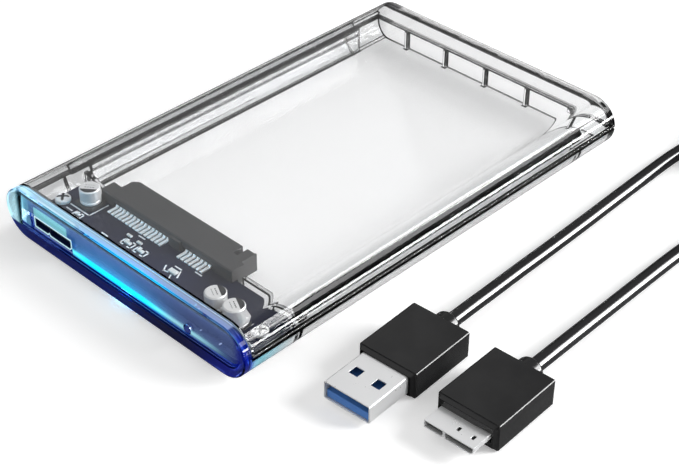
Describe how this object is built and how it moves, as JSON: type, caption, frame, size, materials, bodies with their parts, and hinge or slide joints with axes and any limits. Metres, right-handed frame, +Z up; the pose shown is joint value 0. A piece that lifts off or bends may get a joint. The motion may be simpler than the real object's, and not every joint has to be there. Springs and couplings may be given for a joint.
{
  "type": "portable drive enclosure",
  "caption": "Flat clear enclosure with rounded sides for a 2.5-inch drive, a sliding lid, a bridge board at one end, and a loose black USB cable beside it.",
  "frame": {"origin": "centre of the case's underside, without the cable", "axes": "+X across the case, to the right of the port end; +Y from the port end to the rear; +Z up"},
  "size_m": [0.136, 0.17, 0.013],
  "materials": {
    "clear_plastic": "polished clear polycarbonate",
    "circuit_board": "dark blue-black solder mask with white screen print",
    "connector_plastic": "moulded black",
    "contact_plating": "bright tin plating",
    "connector_steel": "nickel-plated sheet",
    "capacitor_aluminium": "satin can with a dark polarity mark",
    "screw_steel": "bright zinc",
    "chip_plastic": "epoxy",
    "led_emitter": "lit blue",
    "plug_plastic": "smooth black overmould",
    "plug_steel": "bright nickel",
    "usb_blue_plastic": "moulded blue",
    "cord_jacket": "smooth black jacket",
    "tie_plastic": "soft black band"
  },
  "bodies": {
    "case": {"base_shell": "clear_plastic", "bridge_board": "circuit_board", "sata_housing": "connector_plastic", "sata_contact_01": "contact_plating", "sata_contact_02": "contact_plating", "sata_contact_03": "contact_plating", "sata_contact_04": "contact_plating", "sata_contact_05": "contact_plating", "sata_contact_06": "contact_plating", "sata_contact_07": "contact_plating", "sata_contact_08": "contact_plating", "sata_contact_09": "contact_plating", "sata_contact_10": "contact_plating", "sata_contact_11": "contact_plating", "sata_contact_12": "contact_plating", "sata_contact_13": "contact_plating", "sata_contact_14": "contact_plating", "sata_contact_15": "contact_plating", "sata_contact_16": "contact_plating", "sata_contact_17": "contact_plating", "sata_contact_18": "contact_plating", "sata_contact_19": "contact_plating", "sata_contact_20": "contact_plating", "sata_contact_21": "contact_plating", "sata_contact_22": "contact_plating", "usb_port_shell": "connector_steel", "usb_port_insert": "connector_plastic", "capacitor_can_1": "capacitor_aluminium", "capacitor_can_2": "capacitor_aluminium", "capacitor_can_3": "capacitor_aluminium", "capacitor_base_1": "connector_plastic", "capacitor_base_2": "connector_plastic", "capacitor_base_3": "connector_plastic", "board_screw_left": "screw_steel", "board_screw_right": "screw_steel", "bridge_chip": "chip_plastic", "clock_crystal": "connector_steel", "indicator_led": "led_emitter", "led_lens": "clear_plastic"},
    "cover": {"top_cover": "clear_plastic"},
    "usb_cable": {"usb_a_housing": "plug_plastic", "usb_a_shell": "plug_steel", "usb_a_insert": "usb_blue_plastic", "usb_a_strain_relief": "plug_plastic", "micro_b_housing": "plug_plastic", "micro_b_shell": "plug_steel", "micro_b_insert": "connector_plastic", "micro_b_strain_relief": "plug_plastic", "cable_run_a": "cord_jacket", "cable_run_b": "cord_jacket", "cable_coil": "cord_jacket", "cable_tie": "tie_plastic"}
  },
  "joints": [
    {"name": "cover_slide", "type": "slide", "parent": "case", "child": "cover", "axis": [0, 1, 0], "range_m": [0, 0.11]},
    {"name": "cable_lift", "type": "slide", "parent": "case", "child": "usb_cable", "axis": [0, 0, 1], "range_m": [0, 0.05]}
  ]
}
